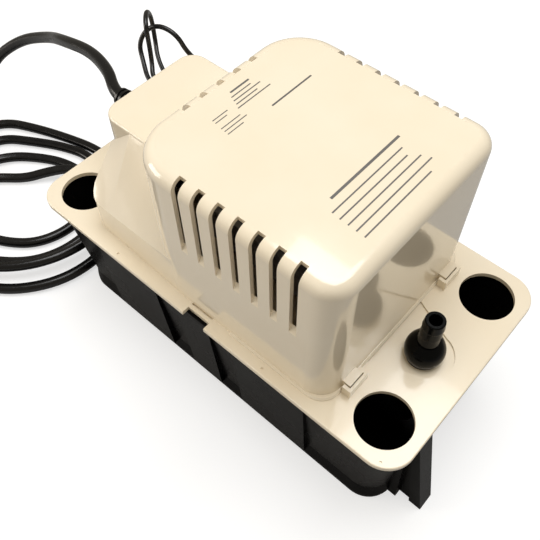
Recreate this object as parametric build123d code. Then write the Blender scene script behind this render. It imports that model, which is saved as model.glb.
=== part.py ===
"""Condensate pump: a tank, a deck with the motor and pump, a vented motor cover and its leads.

Frame: millimetres, +Z up, origin on the floor at the middle of the tank's underside.
+X points to the discharge end, -X to the end where the leads leave, -Y to the front.
"""
from build123d import *
from math import cos, sin, radians, sqrt, tan
import os

# ---------------------------------------------------------------- driving sizes
# tank
TANK_BASE_X, TANK_BASE_Y = 235.0, 107.0      # recessed wall at the floor
TANK_TOP_X, TANK_TOP_Y = 246.4, 123.4        # recessed wall under the rim
TANK_HEIGHT = 82.4
TANK_WALL = 2.0
TANK_FLOOR = 2.5
TANK_CORNER = 16.0
RIM_X, RIM_Y, RIM_HEIGHT = 248.0, 126.0, 3.0
BAND_X, BAND_Y, BAND_HEIGHT, BAND_SLOPE = 239.0, 111.6, 4.0, 10.0
BAND_EDGE = 1.2
PAD_SPANS = ((-81.5, -33.0), (-15.5, 7.5), (24.0, 71.5))
PAD_FOOT_Y, PAD_HEAD_Y, PAD_LOW = 57.6, 62.2, 8.0
LUG_REACH = 139.0
LUG_ROOT = 118.0
LUG_Y, LUG_WIDTH = -33.4, 10.6
LUG_WEB = 4.2
LUG_POST = 7.5
LUG_HEAD_X, LUG_HEAD_Z = 124.0, 72.0
RIB_REACH, RIB_WIDTH, RIB_HEIGHT = 124.4, 4.4, 55.0
# deck
DECK_X, DECK_Y, DECK_THICK, DECK_CORNER = 252.0, 131.0, 2.6, 15.0
DECK_EDGE = 0.7
INLET_X, INLET_Y, INLET_R, INLET_ROOM = 105.6, 44.7, 14.3, 6.0
SKIRT_DROP, SKIRT_WALL, SKIRT_CLEAR = 5.0, 1.6, 0.7
DRIP_X, DRIP_Y, DRIP_R, DRIP_DEPTH = 101.0, -3.0, 13.6, 1.2
DRIP_HALF_MOUTH = 26.0
NOTCH_X, NOTCH_WIDTH, NOTCH_DEPTH = 1.7, 14.8, 4.4
PIPS = ((116.0, -62.0), (-58.0, -62.5), (46.0, -62.5))
PIP_R, PIP_DEPTH = 0.7, 0.6
WINDOW_WIDTH, WINDOW_DEEP, WINDOW_GAP = 14.4, 1.6, 2.2
# cover
COVER_LEFT, COVER_RIGHT, COVER_HALF_Y, COVER_HIGH = -38.5, 80.8, 58.0, 90.0
COVER_WALL = 2.2
COVER_R_LEFT, COVER_R_RIGHT, COVER_R_TOP = 25.0, 13.0, 6.3
NOSE_LEFT, NOSE_HALF_Y, NOSE_HIGH, NOSE_R, NOSE_EDGE = -88.5, 32.4, 62.0, 10.0, 1.6
SHOULDER_LEFT, SHOULDER_KNEE, SHOULDER_ROOT = -84.5, -66.5, -15.0
SHOULDER_FOOT_Y = (54.8, 55.6, 57.8)
SHOULDER_FOOT_Z = (20.0, 20.5, 26.0)
SHOULDER_HEAD_Z = 44.5
SHOULDER_R = 8.0
LIP_PROUD, LIP_HIGH = 1.2, 1.6
VENT_COUNT, VENT_PITCH, VENT_WIDTH, VENT_FIRST_X = 7, 10.75, 4.0, -4.3
VENT_REACH, VENT_SILL, VENT_SILL_RISE = 6.2, 44.5, 4.0
END_VENT_COUNT, END_VENT_PITCH, END_VENT_SILL = 5, 11.0, 66.0
# snap latches
LATCH_Y, LATCH_WIDTH, LATCH_OUT, LATCH_HIGH = 40.0, 14.0, 6.2, 6.2
TAB_WIDTH, TAB_OUT, TAB_HIGH, TAB_LIFT = 9.6, 4.4, 7.2, 1.2
LATCH_CLEAR = 0.4
# motor
MOTOR_X = 26.0
SHAFT_R = 3.0
ROTOR_R, AIR_GAP = 17.1, 0.4
CORE_BACK, CORE_FRONT, CORE_HALF_Y = 48.0, 27.0, 30.0
CORE_LIFT, CORE_THICK = 20.0, 22.0
LEG_WIDTH, WINDOW_X, WINDOW_HALF_Y = 12.0, 14.0, 18.0
COIL_BUILD, BOBBIN_WALL, BOBBIN_CLEAR = 8.0, 1.2, 0.1
BRACKET_GAP, BRACKET_THICK = 6.0, 2.0
BEARING_R, BEARING_LONG, BOSS_R = 5.2, 8.0, 8.0
SCREW_R, SCREW_HEAD_R, SCREW_HEAD_HIGH = 2.0, 3.6, 2.6
SCREW_OUT_X, SCREW_IN_X, SCREW_Y = 21.0, 42.0, 24.0
POST_R = 4.6
FAN_R, FAN_HIGH, FAN_BLADES, FAN_HUB_R = 25.0, 9.0, 6, 6.5
FAN_LIFT = 12.0
RUN_CLEAR = 0.05
# pump
VOLUTE_R, VOLUTE_WALL = 30.0, 3.0
VOLUTE_BASE, VOLUTE_HIGH = 10.0, 22.0
VOLUTE_EYE_R, VOLUTE_COVER = 9.0, 3.0
COLUMN_R, COLUMN_BORE_R, COLUMN_FLANGE_R, COLUMN_FLANGE = 9.0, 5.0, 17.0, 3.0
IMPELLER_R, IMPELLER_HIGH, IMPELLER_VANES = 23.0, 11.0, 6
RISER_R, RISER_BORE_R, SPIGOT_R, SOCKET_R = 8.0, 5.5, 7.0, 9.4
SPIGOT_LONG = 12.0
PIPE_CLEAR = 0.1
OUTLET_R = 4.8
# discharge check valve
VALVE_X, VALVE_Y = 99.6, -4.4
VALVE_R, VALVE_MID, VALVE_HIGH, VALVE_BORE_R, CHAMBER_R = 10.1, 5.0, 9.0, 2.6, 4.4
SPIGOT_DROP, SEAT_DROP = 10.0, 4.0
BALL_R, BALL_RISE = 3.6, 3.0
WASHER_R = 8.6
CAP_HIGH = 4.5
BARB_R, BARB_ROOT_R, BARB_BORE_R, BARB_LONG, BARB_COUNT = 5.4, 4.9, 3.2, 18.5, 3
# float and switches
PIVOT_X, PIVOT_Z, PIVOT_R = -30.0, 66.0, 1.6
FLOAT_X, FLOAT_LONG, FLOAT_WIDE, FLOAT_THICK, FLOAT_TOP = -82.0, 50.0, 50.0, 18.0, 42.0
ARM_THICK, ARM_WIDE = 6.0, 10.0
EAR_GAP, EAR_THICK = 0.4, 3.0
ROD_X, ROD_R, ROD_GAP, ROD_HEAD_R, ROD_HEAD = -54.0, 2.5, 0.5, 9.0, 2.0
ROD_TOP = 10.0
GUIDE_R, GUIDE_RISE, GUIDE_DROP = 5.0, 5.0, 6.0
SWITCH_LEFT, SWITCH_LONG, SWITCH_WIDE, SWITCH_HIGH, SWITCH_LIFT = -82.0, 21.0, 9.0, 15.0, 22.2
LEVER_X, LEVER_RISE, LEVER_THICK, LEVER_WIDE, LEVER_LONG = -79.0, 20.4, 0.8, 5.0, 29.0
LEVER_PIN_R, LEVER_GAP = 0.9, 0.6
BRACKET_PLATE = 2.0
# leads
GLAND_Y, GLAND_RISE, GLAND_R, GLAND_FLANGE_R = -9.0, 48.0, 6.0, 7.6
GLAND_FLANGE, GLAND_TAIL, GLAND_TIP_R = 2.0, 18.0, 4.6
UPSTAND_X, UPSTAND_THICK, UPSTAND_HALF_Y, UPSTAND_HIGH = -83.4, 2.2, 22.0, 57.0
CORD_R = 3.5
GROMMET_Y, GROMMET_RISE, GROMMET_R, GROMMET_LIP = 8.0, 50.0, 3.6, 1.2
LEAD_R = 1.3
LEAD_SPREAD = 1.5

DECK_TOP = TANK_HEIGHT + DECK_THICK
COVER_MID_X = (COVER_LEFT + COVER_RIGHT) / 2
BIG = 400.0


# ---------------------------------------------------------------- helpers
def save(node, shape):
    """Write one node, with its name on the solid."""
    shape.label = node
    export_step(shape, os.path.join("parts", node + ".step"))


def block(x0, x1, y0, y1, z0, z1):
    """A box given by its limits."""
    middle = Pos((x0 + x1) / 2, (y0 + y1) / 2, (z0 + z1) / 2)
    return middle * Box(x1 - x0, y1 - y0, z1 - z0)


def rod(x, y, z0, z1, radius):
    """An upright cylinder between two heights."""
    return Pos(x, y, (z0 + z1) / 2) * Cylinder(radius, z1 - z0)


def tube(x, y, z0, z1, outer, inner):
    """An upright tube between two heights."""
    return rod(x, y, z0, z1, outer) - rod(x, y, z0 - 1, z1 + 1, inner)


def bar_x(x0, x1, y, z, radius):
    """A cylinder along X."""
    return Pos((x0 + x1) / 2, y, z) * Rot(0, 90, 0) * Cylinder(radius, x1 - x0)


def bar_y(y0, y1, x, z, radius):
    """A cylinder along Y."""
    return Pos(x, (y0 + y1) / 2, z) * Rot(90, 0, 0) * Cylinder(radius, y1 - y0)


def side_profile(points, y0, y1):
    """An XZ outline carried from y0 to y1."""
    face = make_face(Polyline(*[(x, y0, z) for x, z in points], close=True))
    return extrude(face, amount=y1 - y0, dir=(0, 1, 0))


def end_profile(points, x0, x1):
    """A YZ outline carried from x0 to x1."""
    face = make_face(Polyline(*[(x0, y, z) for y, z in points], close=True))
    return extrude(face, amount=x1 - x0, dir=(1, 0, 0))


def rounded(z, size_x, size_y, radius):
    """A rounded rectangle lying at height z."""
    return Pos(0, 0, z) * RectangleRounded(size_x, size_y, radius)


def drafted(z0, size0, radius0, z1, size1, radius1):
    """A rounded box whose walls lean from one size to another."""
    return loft([rounded(z0, *size0, radius0), rounded(z1, *size1, radius1)])


def revolved(points, x, y):
    """An (r, z) outline turned about the upright axis at x, y."""
    face = make_face(Polyline(*[(r, 0, z) for r, z in points], close=True))
    return Pos(x, y, 0) * revolve(face, Axis.Z)


def both_sides(make):
    """What make builds for the front (-1) and for the back (+1)."""
    return make(-1) + make(1)


# ---------------------------------------------------------------- tank
def tank_cavity():
    """The water space: the recessed wall moved in by the wall thickness."""
    inner = 2 * TANK_WALL
    base = (TANK_BASE_X - inner, TANK_BASE_Y - inner)
    top = (TANK_TOP_X - inner, TANK_TOP_Y - inner)
    radius = TANK_CORNER - TANK_WALL
    room = drafted(TANK_FLOOR, base, radius, TANK_HEIGHT, top, radius)
    return room + Pos(0, 0, TANK_HEIGHT) * extrude(RectangleRounded(*top, radius), 1)


def tank_pad(x0, x1, side):
    """A proud pad on a long wall; it stands further out towards its foot."""
    inside = TANK_BASE_Y / 2 - 1
    foot, head = PAD_LOW, TANK_HEIGHT - RIM_HEIGHT
    outline = [(inside, foot), (PAD_FOOT_Y, foot), (PAD_HEAD_Y, head), (inside, head)]
    return end_profile([(side * y, z) for y, z in outline], x0, x1)


def tank_lug():
    """The tapered lug on an end wall: a post on a web, with a small rib at its root."""
    head = (LUG_HEAD_X, LUG_HEAD_Z)
    post = [(LUG_REACH - LUG_POST, 0), (LUG_REACH, 0), head, (LUG_HEAD_X - LUG_POST / 2, LUG_HEAD_Z)]
    web = [(LUG_ROOT, 0), (LUG_REACH - LUG_POST / 2, 0), head, (LUG_ROOT, LUG_HEAD_Z)]
    y0 = LUG_Y - LUG_WIDTH / 2
    rib = [(LUG_ROOT, 0), (RIB_REACH, 0), (LUG_ROOT + 3, RIB_HEIGHT), (LUG_ROOT, RIB_HEIGHT)]
    lug = side_profile(post, y0, y0 + LUG_WIDTH)
    lug += side_profile(web, y0 + 1.5, y0 + 1.5 + LUG_WEB)
    return lug + side_profile(rib, y0 + 1.5 - RIB_WIDTH, y0 + 1.6)


def wall_size(z):
    """The outside size of the recessed wall at a height."""
    share = z / TANK_HEIGHT
    return (TANK_BASE_X + (TANK_TOP_X - TANK_BASE_X) * share, TANK_BASE_Y + (TANK_TOP_Y - TANK_BASE_Y) * share)


def foot_band():
    """The thick foot: an eased lower edge, a plain band and a slope back to the wall."""
    slope_top = BAND_HEIGHT + BAND_SLOPE
    wide, narrow = (BAND_X, BAND_Y), (BAND_X - 2 * BAND_EDGE, BAND_Y - 2 * BAND_EDGE)
    band = drafted(0, narrow, TANK_CORNER - BAND_EDGE, BAND_EDGE, wide, TANK_CORNER)
    band += drafted(BAND_EDGE, wide, TANK_CORNER, BAND_HEIGHT, wide, TANK_CORNER)
    return band + drafted(BAND_HEIGHT, wide, TANK_CORNER, slope_top, wall_size(slope_top), TANK_CORNER)


def tank():
    """The open tank with its pads, foot band, rim and the two end lugs."""
    radius = TANK_CORNER
    shell = drafted(0, (TANK_BASE_X, TANK_BASE_Y), radius,
                    TANK_HEIGHT, (TANK_TOP_X, TANK_TOP_Y), radius)
    shell += foot_band()
    rim = Pos(0, 0, TANK_HEIGHT - RIM_HEIGHT) * extrude(RectangleRounded(RIM_X, RIM_Y, DECK_CORNER), RIM_HEIGHT)
    shell += rim
    for x0, x1 in PAD_SPANS:
        shell += tank_pad(x0, x1, -1)
        shell += tank_pad(x0, x1, 1)
    shell += tank_lug()
    shell += Rot(0, 0, 180) * tank_lug()
    shell -= tank_cavity()
    return shell


# ---------------------------------------------------------------- deck
def drip_recess(depth_from, depth_to):
    """The teardrop well round the discharge, open towards the cover."""
    mouth = COVER_RIGHT - COVER_R_TOP
    disc = Pos(DRIP_X, DRIP_Y) * Circle(DRIP_R)
    reach = DRIP_X - mouth
    wedge_half = DRIP_R * 0.97
    wedge = Polygon((mouth, DRIP_Y - DRIP_HALF_MOUTH), (DRIP_X + 3, DRIP_Y - wedge_half),
                    (DRIP_X + 3, DRIP_Y + wedge_half), (mouth, DRIP_Y + DRIP_HALF_MOUTH), align=None)
    outline = disc + wedge
    return Pos(0, 0, depth_from) * extrude(outline, depth_to - depth_from)


def latch_keeper(side):
    """The deck's half of a snap latch: a block with a pocket for the cover's tab."""
    y = side * LATCH_Y
    gap = LATCH_CLEAR
    face = COVER_RIGHT + LIP_PROUD
    body = block(face + gap / 2, COVER_RIGHT + LATCH_OUT, y - LATCH_WIDTH / 2, y + LATCH_WIDTH / 2,
                 DECK_TOP - DECK_THICK / 2, DECK_TOP + LATCH_HIGH)
    pocket = block(face - gap, COVER_RIGHT + TAB_OUT + gap, y - TAB_WIDTH / 2 - gap,
                   y + TAB_WIDTH / 2 + gap, DECK_TOP + TAB_LIFT - gap, DECK_TOP + BIG)
    return body - pocket


def rear_posts():
    """The two tall posts that carry the coil end of the stator."""
    x = MOTOR_X - SCREW_IN_X
    return both_sides(lambda s: rod(x, s * SCREW_Y, DECK_TOP - 1, DECK_TOP + CORE_LIFT, POST_R))


def front_posts():
    """The two short posts under the lower bearing bracket."""
    x = MOTOR_X + SCREW_OUT_X
    top = DECK_TOP + CORE_LIFT - BRACKET_GAP - BRACKET_THICK
    return both_sides(lambda s: rod(x, s * SCREW_Y, DECK_TOP - 1, top, POST_R))


def screw_holes(shape):
    """Bore the screw holes of the four motor posts."""
    for x in (MOTOR_X - SCREW_IN_X, MOTOR_X + SCREW_OUT_X):
        for side in (-1, 1):
            shape -= rod(x, side * SCREW_Y, DECK_TOP - 0.5, DECK_TOP + BIG, SCREW_R)
    return shape


def lead_upstand():
    """The upright plate that carries the strain relief and the grommet."""
    plate = block(UPSTAND_X - UPSTAND_THICK, UPSTAND_X, -UPSTAND_HALF_Y, UPSTAND_HALF_Y,
                  DECK_TOP - 1, DECK_TOP + UPSTAND_HIGH)
    x0, x1 = UPSTAND_X - UPSTAND_THICK - 1, UPSTAND_X + 1
    plate -= bar_x(x0, x1, GLAND_Y, DECK_TOP + GLAND_RISE, GLAND_R)
    return plate - bar_x(x0, x1, GROMMET_Y, DECK_TOP + GROMMET_RISE, GROMMET_R)


def float_ears():
    """The two ears under the deck that carry the float's pin."""
    inner = ARM_WIDE / 2 + EAR_GAP
    outline = [(PIVOT_X - 5, TANK_HEIGHT + 1), (PIVOT_X + 5, TANK_HEIGHT + 1),
               (PIVOT_X + 4, PIVOT_Z - 5), (PIVOT_X - 4, PIVOT_Z - 5)]
    front = side_profile(outline, -inner - EAR_THICK, -inner)
    back = side_profile(outline, inner, inner + EAR_THICK)
    return front + back - bar_y(-BIG / 2, BIG / 2, PIVOT_X, PIVOT_Z, PIVOT_R)


def deck():
    """The deck plate with its openings, posts, ears and latch keepers."""
    plate = Pos(0, 0, TANK_HEIGHT) * extrude(RectangleRounded(DECK_X, DECK_Y, DECK_CORNER), DECK_THICK)
    plate = fillet(plate.edges().group_by(Axis.Z)[-1], DECK_EDGE)
    room_x = TANK_TOP_X - 2 * (TANK_WALL + SKIRT_CLEAR)
    room_y = TANK_TOP_Y - 2 * (TANK_WALL + SKIRT_CLEAR)
    corner = TANK_CORNER - TANK_WALL - SKIRT_CLEAR
    skirt = extrude(RectangleRounded(room_x, room_y, corner), SKIRT_DROP + 1)
    skirt -= extrude(RectangleRounded(room_x - 2 * SKIRT_WALL, room_y - 2 * SKIRT_WALL, corner - SKIRT_WALL),
                     SKIRT_DROP + 1)
    plate += Pos(0, 0, TANK_HEIGHT - SKIRT_DROP) * skirt
    plate += rod(VALVE_X, VALVE_Y, TANK_HEIGHT - SKIRT_DROP, TANK_HEIGHT + 1, SOCKET_R + 2)
    plate -= drip_recess(DECK_TOP - DRIP_DEPTH, DECK_TOP + 1)
    plate -= rod(VALVE_X, VALVE_Y, 0, BIG, RISER_R + PIPE_CLEAR)
    for x in (-INLET_X, INLET_X):
        for y in (-INLET_Y, INLET_Y):
            plate -= rod(x, y, 0, BIG, INLET_R)
            plate -= rod(x, y, 0, TANK_HEIGHT, INLET_R + INLET_ROOM)
    edge = -DECK_Y / 2
    notch = block(NOTCH_X - NOTCH_WIDTH / 2, NOTCH_X + NOTCH_WIDTH / 2, edge - 1, edge + NOTCH_DEPTH,
                  TANK_HEIGHT - 1, DECK_TOP + 1)
    window_y = edge + NOTCH_DEPTH + WINDOW_GAP
    window = block(NOTCH_X - WINDOW_WIDTH / 2, NOTCH_X + WINDOW_WIDTH / 2, window_y, window_y + WINDOW_DEEP,
                   DECK_TOP - DRIP_DEPTH, DECK_TOP + 1)
    plate -= notch + window
    for x, y in PIPS:
        plate -= rod(x, y, DECK_TOP - PIP_DEPTH, DECK_TOP + 1, PIP_R)
    plate += both_sides(latch_keeper)
    plate += rear_posts() + front_posts() + lead_upstand() + float_ears()
    plate = screw_holes(plate)
    plate += rod(ROD_X, 0, TANK_HEIGHT - GUIDE_DROP, DECK_TOP + GUIDE_RISE, GUIDE_R)
    plate -= rod(ROD_X, 0, 0, BIG, ROD_R + 2 * RUN_CLEAR)
    plate -= rod(MOTOR_X, 0, 0, BIG, COLUMN_BORE_R)
    return plate


# ---------------------------------------------------------------- motor cover
def cover_body(inset):
    """The main housing: a rounded box with its top edge rounded over."""
    left, right = COVER_LEFT + inset, COVER_RIGHT - inset
    half = COVER_HALF_Y - inset
    middle = (left + right) / 2
    outline = Pos(middle, 0) * Rectangle(right - left, 2 * half)
    ends = outline.vertices().group_by(Axis.X)
    outline = fillet(ends[0], COVER_R_LEFT - inset)
    outline = fillet(outline.vertices().group_by(Axis.X)[-1], COVER_R_RIGHT - inset)
    body = Pos(0, 0, DECK_TOP) * extrude(outline, COVER_HIGH - inset)
    return fillet(body.edges().group_by(Axis.Z)[-1], COVER_R_TOP - inset)


def cover_nose(inset):
    """The block over the switches, at the end where the leads leave."""
    left, half = NOSE_LEFT + inset, NOSE_HALF_Y - inset
    nose = block(left, COVER_MID_X, -half, half, DECK_TOP, DECK_TOP + NOSE_HIGH - inset)
    corners = nose.edges().filter_by(Axis.Z).group_by(Axis.X)[0]
    nose = fillet(corners, NOSE_R - inset)
    rim = nose.faces().sort_by(Axis.Z)[-1].edges()
    return fillet(rim, NOSE_EDGE)


def shoulder_section(x, foot_y, foot_z, head_z, inset):
    """One section of the shoulders, a closed outline square to X."""
    foot, head = foot_y - inset, NOSE_HALF_Y - inset
    low, high = foot_z - inset / 2, head_z - inset
    outline = [(-foot, 0), (foot, 0), (foot, low), (head, high), (-head, high), (-foot, low)]
    return make_face(Polyline(*[(x, y, DECK_TOP + z) for y, z in outline], close=True))


def cover_shoulders(inset):
    """The sloping sides that join the nose to the housing."""
    places = (SHOULDER_LEFT + inset, SHOULDER_KNEE, SHOULDER_ROOT)
    heads = (SHOULDER_HEAD_Z, NOSE_HIGH - NOSE_EDGE, NOSE_HIGH - NOSE_EDGE)
    sections = [shoulder_section(x, y, z, head, inset)
                for x, y, z, head in zip(places, SHOULDER_FOOT_Y, SHOULDER_FOOT_Z, heads)]
    body = loft(sections, ruled=True)
    corners = body.edges().filter_by(Axis.Z).group_by(Axis.X)[0]
    return fillet(corners, SHOULDER_R - inset)


def cover_form(inset):
    """The whole cover as one solid, moved in by inset."""
    return cover_body(inset) + cover_nose(inset) + cover_shoulders(inset)


def side_vent(x, side):
    """A slot down a long side, open over the top edge, with a sloping sill."""
    out, reach = COVER_HALF_Y + 2, COVER_HALF_Y - VENT_REACH
    sill = DECK_TOP + VENT_SILL
    wall = COVER_HALF_Y - COVER_WALL
    top = DECK_TOP + COVER_HIGH + 2
    outline = [(out, sill - VENT_SILL_RISE * 0.8), (wall, sill + VENT_SILL_RISE),
               (reach, sill + VENT_SILL_RISE), (reach, top), (out, top)]
    return end_profile([(side * y, z) for y, z in outline], x - VENT_WIDTH / 2, x + VENT_WIDTH / 2)


def end_vent(y):
    """A slot above the nose, open over the top edge."""
    return block(COVER_LEFT - 2, COVER_LEFT + VENT_REACH, y - VENT_WIDTH / 2, y + VENT_WIDTH / 2,
                 DECK_TOP + END_VENT_SILL, DECK_TOP + COVER_HIGH + 2)


def cover_lip():
    """The small flared foot round the housing's right part."""
    outline = Rectangle(COVER_RIGHT - COVER_MID_X + LIP_PROUD, 2 * (COVER_HALF_Y + LIP_PROUD))
    outline = Pos((COVER_RIGHT + LIP_PROUD + COVER_MID_X) / 2, 0) * outline
    outline = fillet(outline.vertices().group_by(Axis.X)[-1], COVER_R_RIGHT - 2)
    foot = Pos(0, 0, DECK_TOP) * extrude(outline, LIP_HIGH)
    return chamfer(foot.edges().group_by(Axis.Z)[-1].sort_by(Axis.X)[1:], LIP_HIGH * 0.5)


def cover_tab(side):
    """The cover's half of a snap latch."""
    y = side * LATCH_Y
    return block(COVER_RIGHT - COVER_WALL / 2, COVER_RIGHT + TAB_OUT, y - TAB_WIDTH / 2, y + TAB_WIDTH / 2,
                 DECK_TOP + TAB_LIFT, DECK_TOP + TAB_HIGH)


def lead_notch(y, rise, half):
    """A notch in the nose's end, open at the foot, so that the cover lifts off past a lead."""
    x0, x1 = NOSE_LEFT - 1, NOSE_LEFT + COVER_WALL + 1
    arch = bar_x(x0, x1, y, DECK_TOP + rise, half)
    return arch + block(x0, x1, y - half, y + half, DECK_TOP - 1, DECK_TOP + rise)


def motor_cover():
    """The vented cover."""
    shell = cover_form(0) + cover_lip()
    shell -= cover_form(COVER_WALL)
    for index in range(VENT_COUNT):
        x = VENT_FIRST_X + index * VENT_PITCH
        shell -= side_vent(x, -1)
        shell -= side_vent(x, 1)
    for index in range(END_VENT_COUNT):
        shell -= end_vent((index - (END_VENT_COUNT - 1) / 2) * END_VENT_PITCH)
    shell -= lead_notch(GLAND_Y, GLAND_RISE, GLAND_FLANGE_R + 0.8)
    shell -= lead_notch(GROMMET_Y, GROMMET_RISE, GROMMET_R + GROMMET_LIP + 0.8)
    return shell + both_sides(cover_tab)


# ---------------------------------------------------------------- motor
CORE_BASE = DECK_TOP + CORE_LIFT
CORE_TOP = CORE_BASE + CORE_THICK
LEG_MID_X = MOTOR_X - CORE_BACK + LEG_WIDTH / 2
LOW_BRACKET = CORE_BASE - BRACKET_GAP - BRACKET_THICK
HIGH_BRACKET = CORE_TOP + BRACKET_GAP
FAN_BASE = HIGH_BRACKET + FAN_LIFT
SHAFT_TOP = FAN_BASE + FAN_HIGH


def stator_core():
    """The laminated frame: a bore for the rotor and a leg for the coil."""
    core = block(MOTOR_X - CORE_BACK, MOTOR_X + CORE_FRONT, -CORE_HALF_Y, CORE_HALF_Y, CORE_BASE, CORE_TOP)
    inner = MOTOR_X - CORE_BACK + LEG_WIDTH
    core -= block(inner, inner + WINDOW_X, -WINDOW_HALF_Y, WINDOW_HALF_Y, CORE_BASE - 1, CORE_TOP + 1)
    core -= rod(MOTOR_X, 0, CORE_BASE - 1, CORE_TOP + 1, ROTOR_R + AIR_GAP)
    for x in (MOTOR_X - SCREW_IN_X, MOTOR_X + SCREW_OUT_X):
        for side in (-1, 1):
            core -= rod(x, side * SCREW_Y, CORE_BASE - 1, CORE_TOP + 1, SCREW_R + PIPE_CLEAR)
    return core


def leg_sleeve(grow, half_y):
    """A block round the coil leg, larger than the leg by grow on every side."""
    return block(LEG_MID_X - LEG_WIDTH / 2 - grow, LEG_MID_X + LEG_WIDTH / 2 + grow,
                 -half_y, half_y, CORE_BASE - grow, CORE_TOP + grow)


def coil_bobbin():
    """The moulded bobbin on the leg: a sleeve with two flanges."""
    half = WINDOW_HALF_Y - BOBBIN_CLEAR
    inner, outer = BOBBIN_CLEAR, BOBBIN_CLEAR + BOBBIN_WALL
    spool = leg_sleeve(outer, half)
    flange = outer + COIL_BUILD
    spool += leg_sleeve(flange, half) - leg_sleeve(flange + 1, half - BOBBIN_WALL)
    return spool - leg_sleeve(inner, half + 1)


def coil_winding():
    """The wound wire between the bobbin's flanges, with rounded corners."""
    half = WINDOW_HALF_Y - BOBBIN_CLEAR - BOBBIN_WALL
    inner = BOBBIN_CLEAR + BOBBIN_WALL
    outer = inner + COIL_BUILD - 1.0
    wound = leg_sleeve(outer, half)
    wound = fillet(wound.edges().filter_by(Axis.Y), COIL_BUILD / 2)
    return wound - leg_sleeve(inner, half + 1)


def bearing_bracket(base, leg_from, leg_to):
    """A bracket across the motor: an arm plate, a bearing boss and two spacer legs."""
    out, near = MOTOR_X + SCREW_OUT_X + 5, MOTOR_X - BOSS_R
    wide = SCREW_Y + 5
    plate = Polygon((out, -wide), (out, wide), (out - 10, wide), (near, BOSS_R), (near, -BOSS_R),
                    (out - 10, -wide), align=None)
    bracket = Pos(0, 0, base) * extrude(plate, BRACKET_THICK)
    boss = base + BRACKET_THICK / 2
    bracket += rod(MOTOR_X, 0, boss - BEARING_LONG / 2, boss + BEARING_LONG / 2, BOSS_R)
    bracket -= rod(MOTOR_X, 0, base - BIG, base + BIG, BEARING_R)
    for side in (-1, 1):
        x, y = MOTOR_X + SCREW_OUT_X, side * SCREW_Y
        bracket += rod(x, y, leg_from, leg_to, POST_R)
        bracket -= rod(x, y, base - BIG, base + BIG, SCREW_R + PIPE_CLEAR)
    return bracket


def bearing(base):
    """A sintered sleeve bearing in a bracket's boss."""
    middle = base + BRACKET_THICK / 2
    return tube(MOTOR_X, 0, middle - BEARING_LONG / 2, middle + BEARING_LONG / 2, BEARING_R, SHAFT_R + RUN_CLEAR)


def screw(x, y, z0, z1):
    """A screw with a pan head and a driver slot, its head at z1."""
    shank = rod(x, y, z0, z1, SCREW_R)
    head = rod(x, y, z1, z1 + SCREW_HEAD_HIGH, SCREW_HEAD_R)
    head = fillet(head.edges().group_by(Axis.Z)[-1], SCREW_HEAD_HIGH * 0.4)
    slot = block(x - SCREW_HEAD_R, x + SCREW_HEAD_R, y - 0.5, y + 0.5, z1 + SCREW_HEAD_HIGH * 0.5, z1 + BIG)
    return shank + head - slot


def motor_screws():
    """Four screws: two through the brackets, two through the coil end of the core."""
    screws = []
    for side in (-1, 1):
        screws.append(screw(MOTOR_X + SCREW_OUT_X, side * SCREW_Y, DECK_TOP, HIGH_BRACKET + BRACKET_THICK))
        screws.append(screw(MOTOR_X - SCREW_IN_X, side * SCREW_Y, DECK_TOP, CORE_TOP))
    return Compound(children=screws)


def rotor():
    """The cast rotor, with a short end ring at each end."""
    body = tube(MOTOR_X, 0, CORE_BASE, CORE_TOP, ROTOR_R, SHAFT_R)
    return body + tube(MOTOR_X, 0, CORE_BASE - 2, CORE_TOP + 2, ROTOR_R - 4, SHAFT_R)


def motor_shaft():
    """The shaft from the impeller to the fan."""
    return rod(MOTOR_X, 0, IMPELLER_BASE, SHAFT_TOP + 2, SHAFT_R)


def cooling_fan():
    """The fan on the top of the shaft, with twisted blades on a hub."""
    hub = tube(MOTOR_X, 0, FAN_BASE, FAN_BASE + FAN_HIGH, FAN_HUB_R, SHAFT_R)
    for index in range(FAN_BLADES):
        blade = Pos((FAN_HUB_R + FAN_R) / 2 - 0.8, 0, 0) * Rot(28, 0, 0) * Box(FAN_R - FAN_HUB_R + 1, 1.4, FAN_HIGH)
        turn = Pos(MOTOR_X, 0, FAN_BASE + FAN_HIGH / 2) * Rot(0, 0, index * 360 / FAN_BLADES)
        hub += turn * blade
    return hub


def thermal_protector():
    """The overload cut-out that lies on the winding."""
    top = CORE_TOP + BOBBIN_CLEAR + BOBBIN_WALL + COIL_BUILD - 1.0
    return block(LEG_MID_X - 5, LEG_MID_X + 5, -9, 9, top, top + 4.5)


# ---------------------------------------------------------------- pump
VOLUTE_TOP = VOLUTE_BASE + VOLUTE_HIGH
IMPELLER_BASE = VOLUTE_BASE + 2.5
OUTLET_Z = VOLUTE_BASE + VOLUTE_HIGH / 2
SPIGOT_END = MOTOR_X + VOLUTE_R + SPIGOT_LONG


def pump_column():
    """The column that hangs the pump under the deck, round the shaft."""
    column = rod(MOTOR_X, 0, VOLUTE_TOP, TANK_HEIGHT, COLUMN_R)
    column += rod(MOTOR_X, 0, TANK_HEIGHT - COLUMN_FLANGE, TANK_HEIGHT, COLUMN_FLANGE_R)
    column += rod(MOTOR_X, 0, VOLUTE_TOP, VOLUTE_TOP + COLUMN_FLANGE, COLUMN_FLANGE_R)
    column -= rod(MOTOR_X, 0, 0, BIG, COLUMN_BORE_R)
    for side in (-1, 1):
        column -= rod(MOTOR_X, side * (COLUMN_R + 4), VOLUTE_TOP - 1, VOLUTE_TOP + COLUMN_FLANGE + 1, 1.6)
    return column


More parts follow.
